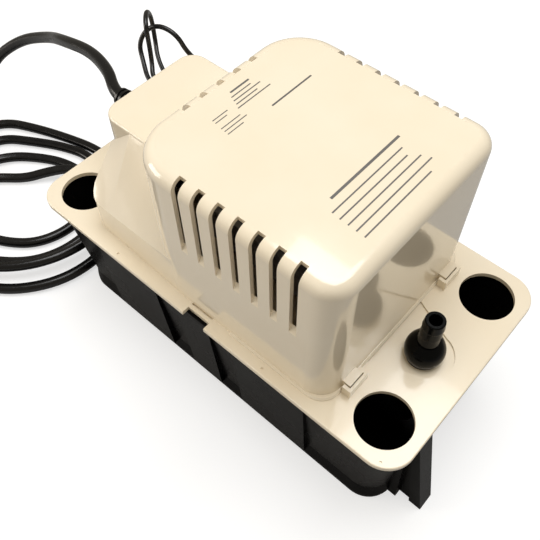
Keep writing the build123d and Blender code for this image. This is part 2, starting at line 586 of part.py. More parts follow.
def volute_housing():
    """The round pump housing, open below, with its outlet spigot towards the riser."""
    body = rod(MOTOR_X, 0, VOLUTE_BASE, VOLUTE_TOP, VOLUTE_R)
    body += bar_x(MOTOR_X, SPIGOT_END, VALVE_Y, OUTLET_Z, SPIGOT_R)
    body -= rod(MOTOR_X, 0, VOLUTE_BASE - 1, VOLUTE_TOP - VOLUTE_WALL, VOLUTE_R - VOLUTE_WALL)
    body -= bar_x(MOTOR_X + IMPELLER_R, SPIGOT_END + 1, VALVE_Y, OUTLET_Z, OUTLET_R)
    body -= rod(MOTOR_X, 0, 0, BIG, SHAFT_R + 0.6)
    for side in (-1, 1):
        body -= rod(MOTOR_X, side * (COLUMN_R + 4), VOLUTE_TOP - VOLUTE_WALL - 1, VOLUTE_TOP + 1, 1.6)
    return body


def volute_cover():
    """The plate under the impeller, with its inlet eye and four feet as a strainer."""
    plate = rod(MOTOR_X, 0, VOLUTE_BASE - VOLUTE_COVER, VOLUTE_BASE, VOLUTE_R)
    plate -= rod(MOTOR_X, 0, 0, BIG, VOLUTE_EYE_R)
    for index in range(8):
        angle = radians(22.5 + 45 * index)
        x, y = MOTOR_X + (VOLUTE_R - 4) * cos(angle), (VOLUTE_R - 4) * sin(angle)
        plate += rod(x, y, TANK_FLOOR, VOLUTE_BASE - 1, 2.2)
    return plate


def volute_screws():
    """The two screws that hold the housing to the column."""
    reach = COLUMN_R + 4
    head = VOLUTE_TOP + COLUMN_FLANGE
    screws = []
    for side in (-1, 1):
        shank = rod(MOTOR_X, side * reach, VOLUTE_TOP - VOLUTE_WALL, head, 1.6)
        screws.append(shank + rod(MOTOR_X, side * reach, head, head + 1.8, 2.9))
    return Compound(children=screws)


def impeller():
    """The open impeller: a disc, a hub and straight vanes on its underside."""
    disc_top = IMPELLER_BASE + IMPELLER_HIGH
    wheel = rod(MOTOR_X, 0, disc_top - 2, disc_top, IMPELLER_R)
    wheel += rod(MOTOR_X, 0, IMPELLER_BASE, disc_top, SHAFT_R + 3)
    for index in range(IMPELLER_VANES):
        turn = Pos(MOTOR_X, 0, 0) * Rot(0, 0, index * 360 / IMPELLER_VANES)
        wheel += turn * block(SHAFT_R + 1, IMPELLER_R - 1, -0.8, 0.8, IMPELLER_BASE, disc_top - 1)
    return wheel - rod(MOTOR_X, 0, 0, BIG, SHAFT_R)


def discharge_riser():
    """The pipe from the pump to the discharge: a socket, a run and an upright."""
    start = SPIGOT_END - SPIGOT_LONG + 2
    socket_end = SPIGOT_END + 1.5
    pipe = bar_x(start, socket_end, VALVE_Y, OUTLET_Z, SOCKET_R)
    pipe += bar_x(start, VALVE_X, VALVE_Y, OUTLET_Z, RISER_R)
    pipe += Pos(VALVE_X, VALVE_Y, OUTLET_Z) * Sphere(RISER_R)
    pipe += rod(VALVE_X, VALVE_Y, OUTLET_Z, DECK_TOP - DRIP_DEPTH, RISER_R)
    pipe -= bar_x(start - 1, SPIGOT_END, VALVE_Y, OUTLET_Z, SPIGOT_R)
    pipe -= bar_x(start, VALVE_X, VALVE_Y, OUTLET_Z, RISER_BORE_R)
    return pipe - rod(VALVE_X, VALVE_Y, OUTLET_Z, BIG, RISER_BORE_R)


# ---------------------------------------------------------------- discharge check valve
VALVE_BASE = DECK_TOP
SEAT_Z = VALVE_BASE - SEAT_DROP
VALVE_TOP = VALVE_BASE + VALVE_HIGH
BALL_Z = SEAT_Z + sqrt(BALL_R ** 2 - VALVE_BORE_R ** 2) + RUN_CLEAR
NECK_Z = VALVE_TOP + CAP_HIGH


def sealing_washer():
    """The flat washer under the valve, in the well of the deck."""
    return tube(VALVE_X, VALVE_Y, DECK_TOP - DRIP_DEPTH, VALVE_BASE, WASHER_R, RISER_BORE_R + PIPE_CLEAR)


def bulb(z0, z1):
    """The part of the valve's round outside between two heights."""
    ball = Pos(VALVE_X, VALVE_Y, VALVE_BASE + VALVE_MID) * Sphere(VALVE_R)
    return ball & rod(VALVE_X, VALVE_Y, z0, z1, VALVE_R + 1)


def valve_body():
    """The lower half of the bulb, with its spigot in the riser and its ball chamber."""
    body = bulb(VALVE_BASE, VALVE_TOP)
    body += rod(VALVE_X, VALVE_Y, VALVE_BASE - SPIGOT_DROP, VALVE_BASE + 1, RISER_BORE_R - PIPE_CLEAR)
    body -= rod(VALVE_X, VALVE_Y, SEAT_Z, BIG, CHAMBER_R)
    return body - rod(VALVE_X, VALVE_Y, 0, BIG, VALVE_BORE_R)


def check_ball():
    """The ball, at rest on its seat."""
    return Pos(VALVE_X, VALVE_Y, BALL_Z) * Sphere(BALL_R)


def barb_fitting():
    """The upper half of the bulb with its barbed neck for the discharge tube."""
    cap = bulb(VALVE_TOP, NECK_Z)
    cap += rod(VALVE_X, VALVE_Y, VALVE_TOP - 1, VALVE_TOP + 1, CHAMBER_R - PIPE_CLEAR)
    outline = [(BARB_BORE_R / 2, NECK_Z - 1), (BARB_ROOT_R, NECK_Z - 1)]
    step = BARB_LONG / BARB_COUNT
    for index in range(BARB_COUNT):
        base = NECK_Z + index * step
        outline += [(BARB_ROOT_R, base), (BARB_R, base + step * 0.2), (BARB_ROOT_R, base + step - 0.4)]
    outline += [(BARB_ROOT_R - 0.5, NECK_Z + BARB_LONG), (BARB_BORE_R / 2, NECK_Z + BARB_LONG)]
    cap += revolved(outline, VALVE_X, VALVE_Y)
    return cap - rod(VALVE_X, VALVE_Y, 0, BIG, BARB_BORE_R)


# ---------------------------------------------------------------- float and switches
ARM_DX, ARM_DZ = FLOAT_X - PIVOT_X, FLOAT_TOP - PIVOT_Z
ARM_LEAN = ARM_DZ / ARM_DX


def float_body():
    """The hollow float: a rounded closed box."""
    box = block(FLOAT_X - FLOAT_LONG / 2, FLOAT_X + FLOAT_LONG / 2, -FLOAT_WIDE / 2, FLOAT_WIDE / 2,
                FLOAT_TOP - FLOAT_THICK, FLOAT_TOP)
    box = fillet(box.edges().filter_by(Axis.Z), 8)
    return fillet(box.edges().group_by(Axis.Z)[0] + box.edges().group_by(Axis.Z)[-1], 2)


def float_arm():
    """The lever from the pin down to the top of the float."""
    half = ARM_THICK / 2 * sqrt(1 + ARM_LEAN ** 2)
    outline = [(PIVOT_X, PIVOT_Z + half), (PIVOT_X, PIVOT_Z - half),
               (FLOAT_X + 6, FLOAT_TOP + 4), (FLOAT_X + 6, FLOAT_TOP), (FLOAT_X - 14, FLOAT_TOP),
               (FLOAT_X - 14, FLOAT_TOP + 3), (FLOAT_X, FLOAT_TOP + half)]
    arm = side_profile(outline, -ARM_WIDE / 2, ARM_WIDE / 2)
    arm += bar_y(-ARM_WIDE / 2, ARM_WIDE / 2, PIVOT_X, PIVOT_Z, half + 1)
    return arm - bar_y(-BIG / 2, BIG / 2, PIVOT_X, PIVOT_Z, PIVOT_R + RUN_CLEAR)


def float_pin():
    """The pin across the two ears."""
    half = ARM_WIDE / 2 + EAR_GAP + EAR_THICK
    return bar_y(-half - 1, half + 1, PIVOT_X, PIVOT_Z, PIVOT_R)


ARM_TOP_AT_ROD = PIVOT_Z + ARM_THICK / 2 * sqrt(1 + ARM_LEAN ** 2) + (ROD_X - PIVOT_X) * ARM_LEAN
ROD_FOOT = ARM_TOP_AT_ROD + ROD_R * ARM_LEAN + ROD_GAP


def push_rod():
    """The rod that the float lifts, with the head that moves both levers."""
    stem = rod(ROD_X, 0, ROD_FOOT, DECK_TOP + ROD_TOP, ROD_R)
    head = rod(ROD_X, 0, DECK_TOP + ROD_TOP - ROD_HEAD, DECK_TOP + ROD_TOP, ROD_HEAD_R)
    return stem + fillet(head.edges(), 0.5)


def switch_bracket():
    """The upright plate between the two switches, with its foot on the deck."""
    half = BRACKET_PLATE / 2
    plate = block(SWITCH_LEFT, SWITCH_LEFT + SWITCH_LONG - 6, -half, half, DECK_TOP,
                  DECK_TOP + SWITCH_LIFT + SWITCH_HIGH - 2)
    foot = block(SWITCH_LEFT, SWITCH_LEFT + SWITCH_LONG - 6, -half - 9, half + 9, DECK_TOP, DECK_TOP + 1.5)
    return plate + foot


def lever_pivot(side):
    """The place across the part of a lever's pin."""
    return side * (BRACKET_PLATE / 2 + SWITCH_WIDE / 2)


def switch_body(side):
    """A snap switch: its case, three terminals on top and two ears for the lever's pin."""
    near, far = BRACKET_PLATE / 2, BRACKET_PLATE / 2 + SWITCH_WIDE
    y0, y1 = sorted((side * near, side * far))
    base = DECK_TOP + SWITCH_LIFT
    case = block(SWITCH_LEFT, SWITCH_LEFT + SWITCH_LONG, y0, y1, base, base + SWITCH_HIGH)
    for index in range(3):
        x = SWITCH_LEFT + 3 + index * 7
        case += block(x - 0.4, x + 0.4, (y0 + y1) / 2 - 2.4, (y0 + y1) / 2 + 2.4, base + SWITCH_HIGH - 1,
                      base + SWITCH_HIGH + 5)
    pin_z = DECK_TOP + LEVER_RISE
    for y in (y0, y1 - 1.2):
        case += block(LEVER_X - 2, LEVER_X + 2, y, y + 1.2, pin_z - 1.8, base + 1)
    return case + bar_y(y0 + 0.6, y1 - 0.6, LEVER_X, pin_z, LEVER_PIN_R)


def lever_lean():
    """The lever's slope at rest: its underside lies just over the rod's head."""
    drop = LEVER_RISE - LEVER_THICK / 2 - ROD_TOP - LEVER_GAP
    return drop / (ROD_X + ROD_HEAD_R - LEVER_X)


def switch_lever(side):
    """The thin steel lever of a switch, on its pin."""
    middle = lever_pivot(side)
    lean = lever_lean()
    half = LEVER_THICK / 2
    pin_z = DECK_TOP + LEVER_RISE
    outline = [(0, half), (0, -half), (LEVER_LONG, -half - lean * LEVER_LONG), (LEVER_LONG, half - lean * LEVER_LONG)]
    strip = side_profile([(LEVER_X + x, pin_z + z) for x, z in outline], middle - LEVER_WIDE / 2,
                         middle + LEVER_WIDE / 2)
    eye = bar_y(middle - LEVER_WIDE / 2, middle + LEVER_WIDE / 2, LEVER_X, pin_z, LEVER_PIN_R + 0.7)
    return strip + eye - bar_y(-BIG / 2, BIG / 2, LEVER_X, pin_z, LEVER_PIN_R + RUN_CLEAR)


# ---------------------------------------------------------------- leads and wiring
GLAND_Z = DECK_TOP + GLAND_RISE
GLAND_END = NOSE_LEFT - GLAND_TAIL + 3.0
CORD_ROUTE = [(GLAND_END, GLAND_Y, GLAND_Z), (-120.5, GLAND_Y, GLAND_Z), (-143, 3.2, 131), (-172, 9.5, 122.5),
              (-204, 12.5, 109.5), (-237.5, 7, 94), (-261, -3.5, 68.5), (-271, -18, 37), (-274, -40, 15)]
COIL_X, COIL_Y, COIL_OUTER, COIL_INNER, COIL_HIGH = -200.0, -44.0, 78.0, 33.5, 10.5
PLUG_AT, PLUG_TURN, PLUG_R, PLUG_LONG = (-291.0, -112.0), 217.0, 18.5, 36.0
PLUG_PIN_R, PLUG_PIN_LONG, PLUG_PIN_APART = 2.4, 19.0, 19.0
GROMMET_Z = DECK_TOP + GROMMET_RISE
GROMMET_OUT = UPSTAND_X - UPSTAND_THICK - GROMMET_LIP
LEAD_COIL_AT, LEAD_COIL_OUTER, LEAD_COIL_INNER, LEAD_COIL_HIGH = (-68.0, 91.0), 19.2, 10.4, 12.6
LEAD_STUB = 9.0
LEAD_A_Y, LEAD_B_Y = GROMMET_Y - LEAD_SPREAD, GROMMET_Y + LEAD_SPREAD
LEAD_A_ROUTE = [(GROMMET_OUT, LEAD_A_Y, GROMMET_Z), (-97, LEAD_A_Y, GROMMET_Z), (-110, 14.8, 139),
                (-115, 17.8, 145.2), (-113, 22.9, 153), (-105, 26.5, 157.2), (-95, 28.9, 154.5),
                (-90, 30.6, 144), (-87.2, 43, 126), (-87, 53, 118), (-82, 63, 104), (-80, 71, 84),
                (-80, 76, 58), (-82, 81, 34), (-82, 86, 14.5)]
LEAD_B_ROUTE = [(GROMMET_OUT, LEAD_B_Y, GROMMET_Z), (-97, LEAD_B_Y, GROMMET_Z), (-105, 16.9, 139),
                (-106.4, 18.2, 148.5), (-108.5, 19.7, 160.1), (-117.5, 28.5, 159.5), (-121.5, 34, 151.5),
                (-121, 33.7, 137.2), (-112, 26.4, 131), (-98, 21, 127), (-91.5, 31, 122), (-87.6, 42, 117),
                (-87, 53, 110), (-86, 64, 98), (-86, 72, 82), (-86, 79, 58), (-86, 85, 34), (-84, 93, 14.5)]
WIRE_R = 1.1


def length_between(a, b):
    """The distance between two points."""
    return sqrt(sum((q - p) ** 2 for p, q in zip(a, b)))


def bend_radii(points):
    """The largest smooth bend at each inner point of a route."""
    radii = []
    for before, here, after in zip(points, points[1:], points[2:]):
        run_in, run_out = length_between(before, here), length_between(here, after)
        dot = sum((h - b) * (a - h) for b, h, a in zip(before, here, after)) / (run_in * run_out)
        half_turn_tan = sqrt((1 - dot) / (1 + dot))
        radii.append(0.45 * min(run_in, run_out) / half_turn_tan)
    return radii


def cable(points, radius, bends=None):
    """A round cable along straight runs joined by bends."""
    bends = bends or bend_radii(points)
    line = FilletPolyline(*points, radius=bends)
    section = Plane(origin=points[0], z_dir=line % 0) * Circle(radius)
    return sweep(section, path=line)


def stub(start, towards, long, radius):
    """A straight piece of cable that starts at a point and goes on towards another."""
    heading = Vector(*towards) - Vector(*start)
    return Plane(origin=start, z_dir=heading.normalized()) * Pos(0, 0, long / 2) * Cylinder(radius, long)


def onward(before, here, far):
    """The point that lies far beyond here on the line from before."""
    step = length_between(before, here)
    return tuple(h + (h - b) / step * far for b, h in zip(before, here))


def power_strain_relief():
    """The strain relief in the upstand: a flange inside, and a tail that narrows outwards."""
    inner = UPSTAND_X + GLAND_FLANGE
    relief = bar_x(UPSTAND_X, inner, GLAND_Y, GLAND_Z, GLAND_FLANGE_R)
    relief += bar_x(UPSTAND_X - UPSTAND_THICK, UPSTAND_X, GLAND_Y, GLAND_Z, GLAND_R)
    root, tip = UPSTAND_X - UPSTAND_THICK, GLAND_END
    face = make_face(Polyline((root, GLAND_Y, GLAND_Z), (root, GLAND_Y, GLAND_Z + GLAND_FLANGE_R - 0.6),
                              (root - 4, GLAND_Y, GLAND_Z + GLAND_FLANGE_R - 0.6),
                              (tip, GLAND_Y, GLAND_Z + GLAND_TIP_R), (tip, GLAND_Y, GLAND_Z), close=True))
    axis = Axis((root, GLAND_Y, GLAND_Z), (1, 0, 0))
    return relief + revolve(face, axis)


def power_cord():
    """The power cord from the strain relief to its coil on the floor."""
    return cable(CORD_ROUTE, CORD_R)


def coil_ring(x, y, outer, inner, high, edge):
    """A flat closed ring that stands for a coil of cable."""
    ring = tube(x, y, 0, high, outer, inner)
    return fillet(ring.edges(), edge)


def plug_place(along, z):
    """A point on the plug's axis, measured from its back."""
    angle = radians(PLUG_TURN)
    return (PLUG_AT[0] + along * cos(angle), PLUG_AT[1] + along * sin(angle), z)


def power_cord_coil():
    """The coil on the floor, with the ends that meet the cord and the plug."""
    ring = coil_ring(COIL_X, COIL_Y, COIL_OUTER, COIL_INNER, COIL_HIGH, CORD_R)
    end = CORD_ROUTE[-1]
    ring += stub(end, onward(CORD_ROUTE[-2], end, 10), 14, CORD_R)
    into = (COIL_X - COIL_OUTER * 0.72, COIL_Y - COIL_OUTER * 0.5, COIL_HIGH - CORD_R)
    back, bend = plug_place(0, PLUG_R), plug_place(-PLUG_R, PLUG_R)
    ring += stub(back, bend, PLUG_R, CORD_R) + Pos(*bend) * Sphere(CORD_R)
    return ring + stub(bend, into, length_between(bend, into), CORD_R)


def plug_body():
    """The moulded plug: a narrow back and a round front."""
    outline = [(0, 0), (CORD_R + 1.6, 0), (CORD_R + 3.4, 9), (PLUG_R * 0.72, 13), (PLUG_R * 0.78, 24),
               (PLUG_R - 1.2, 29), (PLUG_R, 30.5), (PLUG_R, PLUG_LONG - 1), (PLUG_R - 1, PLUG_LONG), (0, PLUG_LONG)]
    face = make_face(Polyline(*[(r, 0, z) for r, z in outline], close=True))
    origin, ahead = plug_place(0, PLUG_R), plug_place(1, PLUG_R)
    heading = Vector(*ahead) - Vector(*origin)
    return Plane(origin=origin, z_dir=heading) * revolve(face, Axis.Z)


def plug_pins():
    """The plug's two round pins, side by side."""
    pins = []
    for side in (-1, 1):
        angle = radians(PLUG_TURN + 90)
        shift = side * PLUG_PIN_APART / 2
        root, ahead = plug_place(PLUG_LONG, PLUG_R), plug_place(PLUG_LONG + 1, PLUG_R)
        start = (root[0] + shift * cos(angle), root[1] + shift * sin(angle), root[2])
        beyond = (ahead[0] + shift * cos(angle), ahead[1] + shift * sin(angle), ahead[2])
        pins.append(stub(start, beyond, PLUG_PIN_LONG, PLUG_PIN_R))
    return Compound(children=pins)


def lead_grommet():
    """The grommet of the two thin leads, in the upstand."""
    inner, outer = UPSTAND_X, UPSTAND_X - UPSTAND_THICK
    grommet = bar_x(outer, inner, GROMMET_Y, GROMMET_Z, GROMMET_R)
    grommet += bar_x(inner, inner + GROMMET_LIP, GROMMET_Y, GROMMET_Z, GROMMET_R + GROMMET_LIP)
    return grommet + bar_x(outer - GROMMET_LIP, outer, GROMMET_Y, GROMMET_Z, GROMMET_R + GROMMET_LIP)


def lead_coil():
    """The small coil of the two thin leads, with the ends that meet them."""
    x, y = LEAD_COIL_AT
    ring = coil_ring(x, y, LEAD_COIL_OUTER, LEAD_COIL_INNER, LEAD_COIL_HIGH, LEAD_R)
    for route in (LEAD_A_ROUTE, LEAD_B_ROUTE):
        ring += stub(route[-1], onward(route[-2], route[-1], LEAD_STUB), LEAD_STUB, LEAD_R)
    return ring


def internal_wires():
    """The wiring inside the cover, between the relief, the switches, the grommet and the coil."""
    tip = DECK_TOP + SWITCH_LIFT + SWITCH_HIGH + 5
    relief_x, grommet_x = UPSTAND_X + GLAND_FLANGE, UPSTAND_X + GROMMET_LIP
    middle_x, last_x, run_y = SWITCH_LEFT + 10, SWITCH_LEFT + 17, GLAND_Y + 2.6
    level, live_y = tip + 8, GLAND_Y - 2.6
    coil_x = LEG_MID_X - 5
    coil_z = CORE_TOP + BOBBIN_CLEAR + BOBBIN_WALL + COIL_BUILD + 1.2
    routes = [
        [(relief_x, run_y, level), (middle_x, run_y, level), (middle_x, run_y, tip)],
        [(relief_x, live_y, level), (-72, live_y, level), (-58, live_y, level + 2), (-44, -4, coil_z),
         (-32, -3, coil_z), (coil_x, -3, coil_z)],
        [(last_x, run_y, tip), (last_x, run_y, tip + 6), (-50, 0, tip + 7), (-34, 3, coil_z), (coil_x, 3, coil_z)],
        [(grommet_x, LEAD_A_Y, GROMMET_Z), (middle_x, LEAD_A_Y, GROMMET_Z), (middle_x, LEAD_A_Y, tip)],
        [(grommet_x, LEAD_B_Y, GROMMET_Z), (-75, LEAD_B_Y, GROMMET_Z), (last_x, LEAD_A_Y, GROMMET_Z + 1),
         (last_x, LEAD_A_Y, tip)]]
    return Compound(children=[cable(route, WIRE_R) for route in routes])


# ---------------------------------------------------------------- write the nodes
def main():
    """Build every node and write it."""
    os.makedirs("parts", exist_ok=True)
    nodes = dict(
        tank=tank(), deck=deck(), motor_cover=motor_cover(), stator_core=stator_core(),
        coil_bobbin=coil_bobbin(), coil_winding=coil_winding(),
        upper_bracket=bearing_bracket(HIGH_BRACKET, CORE_TOP, HIGH_BRACKET + BRACKET_THICK),
        lower_bracket=bearing_bracket(LOW_BRACKET, LOW_BRACKET, CORE_BASE),
        upper_bearing=bearing(HIGH_BRACKET), lower_bearing=bearing(LOW_BRACKET),
        motor_screws=motor_screws(), rotor=rotor(), motor_shaft=motor_shaft(), cooling_fan=cooling_fan(),
        thermal_protector=thermal_protector(), pump_column=pump_column(), volute_housing=volute_housing(),
        volute_cover=volute_cover(), volute_screws=volute_screws(), impeller=impeller(),
        discharge_riser=discharge_riser(), sealing_washer=sealing_washer(), valve_body=valve_body(),
        check_ball=check_ball(), barb_fitting=barb_fitting(), float_body=float_body(), float_arm=float_arm(),
        float_pin=float_pin(), push_rod=push_rod(), switch_bracket=switch_bracket(),
        run_switch=switch_body(-1), safety_switch=switch_body(1), run_lever=switch_lever(-1),
        safety_lever=switch_lever(1), power_strain_relief=power_strain_relief(), power_cord=power_cord(),
        power_cord_coil=power_cord_coil(), plug_body=plug_body(), plug_pins=plug_pins(),
        lead_grommet=lead_grommet(), lead_a=cable(LEAD_A_ROUTE, LEAD_R), lead_b=cable(LEAD_B_ROUTE, LEAD_R),
        lead_coil=lead_coil(), internal_wires=internal_wires())
    for route, name in ((CORD_ROUTE, "power cord"), (LEAD_A_ROUTE, "lead a"), (LEAD_B_ROUTE, "lead b")):
        print(name, "bends", [round(radius, 1) for radius in bend_radii(route)])
    for node, shape in nodes.items():
        save(node, shape)


main()
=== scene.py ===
"""Looks of a condensate pump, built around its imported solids.

Every length is in metres in the frame of the solids: +Z up, +X to the discharge end, -Y to the front.
"""

import logging
import math
from dataclasses import dataclass, field
from enum import Enum
from typing import Any, Sequence

import bmesh
import bpy
from mathutils import Matrix, Vector


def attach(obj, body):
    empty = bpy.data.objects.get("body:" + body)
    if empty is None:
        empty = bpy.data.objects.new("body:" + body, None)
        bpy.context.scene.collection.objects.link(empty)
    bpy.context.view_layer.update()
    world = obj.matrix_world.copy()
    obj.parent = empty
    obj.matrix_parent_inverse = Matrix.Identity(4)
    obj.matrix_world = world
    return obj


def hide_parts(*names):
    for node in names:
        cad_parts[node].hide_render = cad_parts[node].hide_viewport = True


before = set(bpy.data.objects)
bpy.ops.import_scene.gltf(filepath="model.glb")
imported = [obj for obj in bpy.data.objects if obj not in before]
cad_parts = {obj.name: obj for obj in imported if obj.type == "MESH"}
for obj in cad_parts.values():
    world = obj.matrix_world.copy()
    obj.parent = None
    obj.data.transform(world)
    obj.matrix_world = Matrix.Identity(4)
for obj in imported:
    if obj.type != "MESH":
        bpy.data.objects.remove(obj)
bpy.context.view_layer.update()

LOG = logging.getLogger("condensate_pump")
MM = 0.001
Point = tuple[float, float, float]
Colour = tuple[float, float, float]


# ---------------------------------------------------------------- shader maths
class Signal:
    """A socket of a material's node tree that takes part in Python arithmetic."""

    def __init__(self, surface: "Surface", socket: bpy.types.NodeSocket) -> None:
        """Wrap a socket.

        Args:
            surface: The material that owns the socket.
            socket: The output socket.
        """
        self.surface = surface
        self.socket = socket

    def _math(self, operation: str, left: Any, right: Any) -> "Signal":
        """Add one Math node.

        Args:
            operation: The node's operation.
            left: A signal or a number.
            right: A signal or a number.

        Returns:
            The node's value.
        """
        return self.surface.node("ShaderNodeMath", {"operation": operation}, {0: left, 1: right})["Value"]

    def __add__(self, other: Any) -> "Signal":
        """Sum."""
        return self._math("ADD", self, other)

    def __radd__(self, other: Any) -> "Signal":
        """Reflected sum."""
        return self._math("ADD", other, self)

    def __sub__(self, other: Any) -> "Signal":
        """Difference."""
        return self._math("SUBTRACT", self, other)

    def __rsub__(self, other: Any) -> "Signal":
        """Reflected difference."""
        return self._math("SUBTRACT", other, self)

    def __mul__(self, other: Any) -> "Signal":
        """Product."""
        return self._math("MULTIPLY", self, other)

    def __truediv__(self, other: Any) -> "Signal":
        """Quotient."""
        return self._math("DIVIDE", self, other)

    def span(self, low: float, high: float) -> "Signal":
        """Rescale this signal so that low becomes 0 and high becomes 1, clamped.

        Args:
            low: The value that becomes 0.
            high: The value that becomes 1.

        Returns:
            The rescaled signal.
        """
        inputs = {"Value": self, "From Min": low, "From Max": high}
        return self.surface.node("ShaderNodeMapRange", {"clamp": True}, inputs)["Result"]


class Made:
    """A node that was just added, whose outputs are read by name."""

    def __init__(self, surface: "Surface", node: bpy.types.Node) -> None:
        """Wrap a node.

        Args:
            surface: The material that owns the node.
            node: The node.
        """
        self.surface = surface
        self.node = node

    def __getitem__(self, name: Any) -> Signal:
        """An output as a signal."""
        return Signal(self.surface, self.node.outputs[name])


class Surface:
    """A material under construction: a Principled shader and the nodes that feed it."""

    def __init__(self, name: str) -> None:
        """Start an empty material.

        Args:
            name: The material's name.
        """
        self.material = bpy.data.materials.new(name)
        self.material.use_nodes = True
        self.tree = self.material.node_tree
        self.tree.nodes.clear()
        self.shader = self.node("ShaderNodeBsdfPrincipled")
        self.end = self.node("ShaderNodeOutputMaterial", {}, {"Surface": self.shader["BSDF"]})

    def node(self, kind: str, settings: dict[str, Any] | None = None,
             inputs: dict[Any, Any] | None = None) -> Made:
        """Add a node, set it up, then fill or link its sockets.

        Args:
            kind: The node's type.
            settings: Properties of the node.
            inputs: Socket names or indices, with a number, colour, vector or signal for each.

        Returns:
            The node, whose outputs are read by name.
        """
        node = self.tree.nodes.new(kind)
        for key, value in (settings or {}).items():
            setattr(node, key, value)
        for key, value in (inputs or {}).items():
            self.feed(node.inputs[key], value)
        return Made(self, node)

    def feed(self, socket: bpy.types.NodeSocket, value: Any) -> None:
        """Set a socket, or link a signal to it.

        Args:
            socket: The input socket.
            value: A signal, a number, or a sequence of numbers.
        """
        if isinstance(value, Signal):
            self.tree.links.new(value.socket, socket)
        elif isinstance(value, (int, float)):
            socket.default_value = float(value)
        else:
            size = len(socket.default_value)
            socket.default_value = tuple(value) + (1.0,) * (size - len(value))

    def set(self, **values: Any) -> "Surface":
        """Set or link sockets of the main shader.

        Args:
            values: Socket names with underscores for spaces, and their values.

        Returns:
            This surface.
        """
        for name, value in values.items():
            self.feed(self.shader.node.inputs[name.replace("_", " ")], value)
        return self

    def place(self) -> Signal:
        """The position on the object at rest, in metres."""
        return self.node("ShaderNodeTexCoord")["Object"]

    def axis(self, name: str) -> Signal:
        """One coordinate of the position: X, Y or Z."""
        return self.node("ShaderNodeSeparateXYZ", {}, {"Vector": self.place()})[name]

    def noise(self, scale: float, detail: float = 2.0, stretch: Point = (1, 1, 1)) -> Signal:
        """Fractal noise over the object.

        Args:
            scale: Features per metre.
            detail: Octaves.
            stretch: How much the pattern is squeezed along each axis.

        Returns:
            The noise, around one half.
        """
        place = self.node("ShaderNodeMapping", {}, {"Vector": self.place(), "Scale": stretch})["Vector"]
        return self.node("ShaderNodeTexNoise", {}, {"Vector": place, "Scale": scale, "Detail": detail})["Fac"]

    def cells(self, scale: float) -> Signal:
        """Distance to the nearest of many scattered points, for grain and specks."""
        return self.node("ShaderNodeTexVoronoi", {}, {"Vector": self.place(), "Scale": scale})["Distance"]

    def blend(self, factor: Any, first: Any, second: Any) -> Signal:
        """Mix two colours.

        Args:
            factor: 0 gives the first, 1 gives the second.
            first: A colour or a signal.
            second: A colour or a signal.

        Returns:
            The mixed colour.
        """
        made = self.node("ShaderNodeMix", {"data_type": "RGBA"}, {0: factor, 6: first, 7: second})
        return Signal(self, made.node.outputs[2])

    def bump(self, height: Signal, depth: float) -> Signal:
        """A normal tilted by a height.

        Args:
            height: The height, 0 to 1.
            depth: What a height of 1 stands for, in metres.

        Returns:
            The normal.
        """
        inputs = {"Height": height, "Distance": depth, "Strength": 1.0}
        return self.node("ShaderNodeBump", {}, inputs)["Normal"]


def linear(red: float, green: float, blue: float) -> Colour:
    """Turn a display colour of 0 to 255 into the linear colour that shaders take."""
    def one(value: float) -> float:
        """One channel."""
        share = value / 255
        return share / 12.92 if share <= 0.04045 else ((share + 0.055) / 1.055) ** 2.4
    return one(red), one(green), one(blue)


# ---------------------------------------------------------------- finishes
@dataclass(frozen=True)
class MouldedPlastic:
    """A moulded plastic with a faint texture, slow shade changes and dull smudges."""

    name: str
    colour: Colour
    shade: Colour
    roughness: float = 0.3
    grain: float = 2500.0
    grain_depth: float = 0.00002
    coat: float = 0.0
    gloss: float = 0.5

    def make(self) -> bpy.types.Material:
        """Build the material."""
        skin = Surface(self.name)
        slow = skin.noise(28, 3)
        cloud = skin.noise(9, 1)
        fleck = skin.noise(1800, 2)
        smudge = skin.noise(46, 4).span(0.55, 0.8)
        base = skin.blend((slow * 0.6 + cloud * 0.4).span(0.35, 0.65), self.colour, self.shade)
        base = skin.blend(fleck.span(0.62, 0.8) * 0.18, base, self.shade)
        grain = skin.noise(self.grain, 3) * 0.7 + skin.cells(self.grain * 0.7) * 0.3
        skin.set(Base_Color=base, Roughness=self.roughness + (slow - 0.5) * 0.06 + smudge * 0.05,
                 Normal=skin.bump(grain, self.grain_depth), Coat_Weight=self.coat,
                 Coat_Roughness=0.04, IOR=1.5, Specular_IOR_Level=self.gloss)
        return skin.material


@dataclass(frozen=True)
class Jacket:
    """A soft plastic or rubber jacket: dark, glossy, with fine drawing lines and dust."""

    name: str
    colour: Colour
    dust: Colour
    roughness: float = 0.28

    def make(self) -> bpy.types.Material:
        """Build the material."""
        skin = Surface(self.name)
        wave = skin.noise(180, 3)
        pore = skin.noise(5200, 2)
        dust = skin.noise(700, 4).span(0.6, 0.85)
        skin.set(Base_Color=skin.blend(dust * 0.12, self.colour, self.dust),
                 Roughness=self.roughness + (wave - 0.5) * 0.2 + dust * 0.12,
                 Normal=skin.bump(pore * 0.4 + wave, 0.00004), IOR=1.5)
        return skin.material


@dataclass(frozen=True)
class Metal:
    """A metal with lines from rolling or turning and a little tarnish."""

    name: str
    colour: Colour
    tarnish: Colour
    roughness: float = 0.3
    lines: Point = (1, 1, 40)
    line_scale: float = 120.0

    def make(self) -> bpy.types.Material:
        """Build the material."""
        skin = Surface(self.name)
        line = skin.noise(self.line_scale, 4, self.lines)
        stain = skin.noise(90, 4).span(0.5, 0.75)
        skin.set(Base_Color=skin.blend(stain * 0.5, self.colour, self.tarnish), Metallic=1.0,
                 Roughness=self.roughness + (line - 0.5) * 0.25 + stain * 0.1,
                 Normal=skin.bump(line, 0.00004))
        return skin.material


